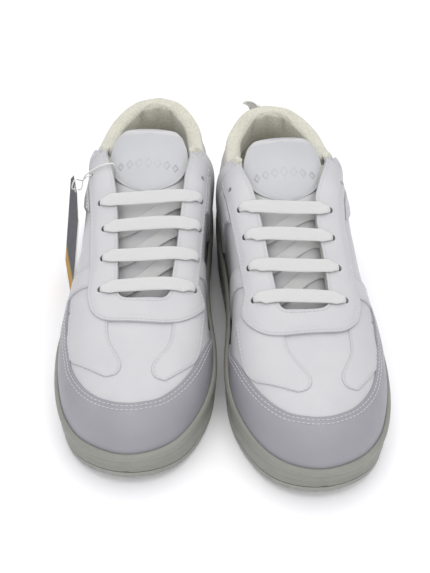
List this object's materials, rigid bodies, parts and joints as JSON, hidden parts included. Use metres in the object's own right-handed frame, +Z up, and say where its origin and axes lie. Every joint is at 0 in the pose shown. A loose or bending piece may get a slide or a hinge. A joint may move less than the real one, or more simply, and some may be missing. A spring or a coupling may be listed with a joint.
{
  "type": "lace-up cheer shoes",
  "caption": "Pair of low white lace-up cheer shoes with padded cream collars, rounded toe caps, winged vamps, cup soles and a hang tag.",
  "frame": {"origin": "on the ground under the centre of the pair's bounding box", "axes": "+Z up, toes towards -Y, +X from the right-foot shoe to the left-foot shoe"},
  "size_m": [0.2282, 0.3047, 0.1179],
  "materials": {
    "white_leather": "smooth white coated leather, low sheen",
    "cream_textile": "ivory knit lining and webbing",
    "white_rubber": "matt off-white rubber",
    "eva_foam": "moulded off-white cup",
    "board": "fibre insole board",
    "stiffener": "thermoplastic stiffener",
    "lace_white": "flat woven white lace",
    "aglet_plastic": "clear-white lace tip",
    "tag_card": "dark printed card",
    "tag_string": "thin white cord"
  },
  "bodies": {
    "right_shoe": {"right_aglet_lower": "aglet_plastic", "right_aglet_upper": "aglet_plastic", "right_collar": "cream_textile", "right_eyestay": "white_leather", "right_heel_counter": "stiffener", "right_heel_panel": "white_leather", "right_insole_board": "board", "right_midsole": "eva_foam", "right_outsole": "white_rubber", "right_quarter_lateral": "white_leather", "right_quarter_lining": "cream_textile", "right_quarter_medial": "white_leather", "right_shoelace": "lace_white", "right_side_band_lateral": "white_leather", "right_side_band_medial": "white_leather", "right_sockliner": "cream_textile", "right_tag_string": "tag_string", "right_toe_cap": "white_leather", "right_toe_puff": "stiffener", "right_vamp": "white_leather", "right_vamp_lining": "cream_textile", "right_wing_lateral": "white_leather", "right_wing_medial": "white_leather"},
    "right_tongue": {"right_tongue": "white_leather", "right_tongue_lining": "cream_textile", "right_tongue_badge": "white_leather"},
    "right_pull_tab": {"right_pull_tab": "cream_textile"},
    "swing_tag": {"right_swing_tag": "tag_card"},
    "left_shoe": {"left_aglet_lower": "aglet_plastic", "left_aglet_upper": "aglet_plastic", "left_collar": "cream_textile", "left_eyestay": "white_leather", "left_heel_counter": "stiffener", "left_heel_panel": "white_leather", "left_insole_board": "board", "left_midsole": "eva_foam", "left_outsole": "white_rubber", "left_quarter_lateral": "white_leather", "left_quarter_lining": "cream_textile", "left_quarter_medial": "white_leather", "left_shoelace": "lace_white", "left_side_band_lateral": "white_leather", "left_side_band_medial": "white_leather", "left_sockliner": "cream_textile", "left_toe_cap": "white_leather", "left_toe_puff": "stiffener", "left_vamp": "white_leather", "left_vamp_lining": "cream_textile", "left_wing_lateral": "white_leather", "left_wing_medial": "white_leather"},
    "left_tongue": {"left_tongue": "white_leather", "left_tongue_lining": "cream_textile", "left_tongue_badge": "white_leather"},
    "left_pull_tab": {"left_pull_tab": "cream_textile"}
  },
  "joints": [
    {"name": "pair_spacing", "type": "slide", "parent": "right_shoe", "child": "left_shoe", "axis": [1, 0, 0], "range_m": [0, 0.15]},
    {"name": "right_tongue_press", "type": "hinge", "parent": "right_shoe", "child": "right_tongue", "pos_m": [-0.04865, -0.05129, 0.0575], "axis": [-0.9991, 0.0419, 0], "range_deg": [0, 10], "stiffness_Nm_per_rad": 0.3, "springref_deg": -11.46},
    {"name": "right_pull_tab_bend", "type": "hinge", "parent": "right_shoe", "child": "right_pull_tab", "pos_m": [-0.04019, 0.15053, 0.084], "axis": [-0.9991, 0.0419, 0], "range_deg": [0, 60], "stiffness_Nm_per_rad": 0.01, "springref_deg": -11.46},
    {"name": "left_tongue_press", "type": "hinge", "parent": "left_shoe", "child": "left_tongue", "pos_m": [0.05937, -0.06187, 0.0575], "axis": [-0.9952, -0.0976, 0], "range_deg": [0, 10], "stiffness_Nm_per_rad": 0.3, "springref_deg": -11.46},
    {"name": "left_pull_tab_bend", "type": "hinge", "parent": "left_shoe", "child": "left_pull_tab", "pos_m": [0.03965, 0.13916, 0.084], "axis": [-0.9952, -0.0976, 0], "range_deg": [0, 60], "stiffness_Nm_per_rad": 0.01, "springref_deg": -11.46},
    {"name": "tag_swing", "type": "hinge", "parent": "right_shoe", "child": "swing_tag", "pos_m": [-0.09416, 0.03569, 0.09453], "axis": [0.0419, 0.9991, 0], "range_deg": [0, 20]}
  ]
}
